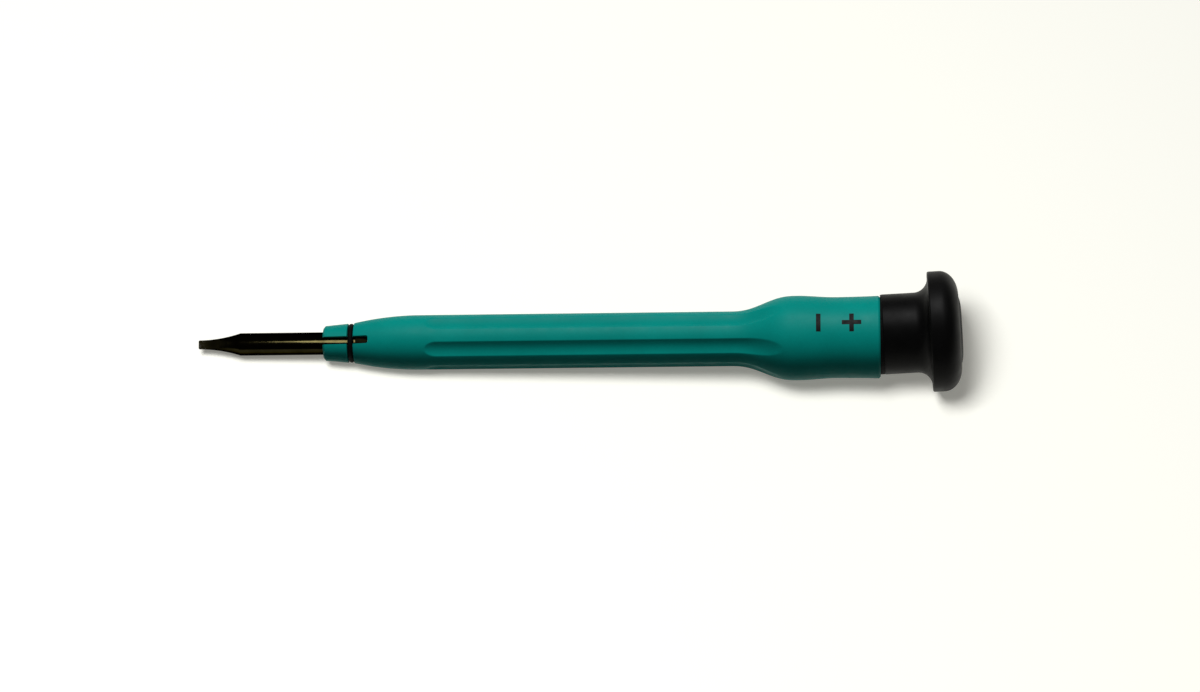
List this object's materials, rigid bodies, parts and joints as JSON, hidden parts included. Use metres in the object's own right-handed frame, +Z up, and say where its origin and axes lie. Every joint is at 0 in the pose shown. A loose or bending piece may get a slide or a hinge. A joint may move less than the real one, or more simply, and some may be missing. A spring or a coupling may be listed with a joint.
{
  "type": "reversible screwdriver",
  "caption": "Slim reversible precision screwdriver: double-ended blade in a slotted nose, fluted plastic handle with a swelling bulb, and a wide finger cap that turns freely.",
  "frame": {"origin": "middle of the bounding box of the lying tool, on the surface that it lies on", "axes": "+X along the tool from the flat tip to the cap, +Z up from the surface; the tool's own axis rises 3.34 degrees towards the cap, because the cap's rim is wider than the grip"},
  "size_m": [0.1352, 0.0212, 0.0213],
  "materials": {
    "handle_plastic": "satin teal moulding",
    "ring_rubber": "black rubber",
    "blade_steel": "dark oxide on ground tool steel",
    "cap_plastic": "black moulding, fine satin",
    "pad_plastic": "black moulding, fine satin",
    "pin_steel": "turned",
    "washer_nylon": "natural nylon",
    "washer_steel": "stamped"
  },
  "bodies": {
    "handle": {"handle_body": "handle_plastic", "nose_ring": "ring_rubber", "swivel_pin": "pin_steel", "retaining_washer": "washer_steel"},
    "blade": {"reversible_blade": "blade_steel"},
    "cap": {"swivel_cap": "cap_plastic", "finger_pad": "pad_plastic", "thrust_washer": "washer_nylon"}
  },
  "joints": [
    {"name": "blade_slide", "type": "slide", "parent": "handle", "child": "blade", "axis": [-0.9983, 0, -0.0582], "range_m": [0, 0.0365]},
    {"name": "cap_swivel", "type": "hinge", "parent": "handle", "child": "cap", "pos_m": [0.05346, -0.00037, 0.0099], "axis": [0.996, 0.0393, 0.0808], "continuous": true}
  ]
}
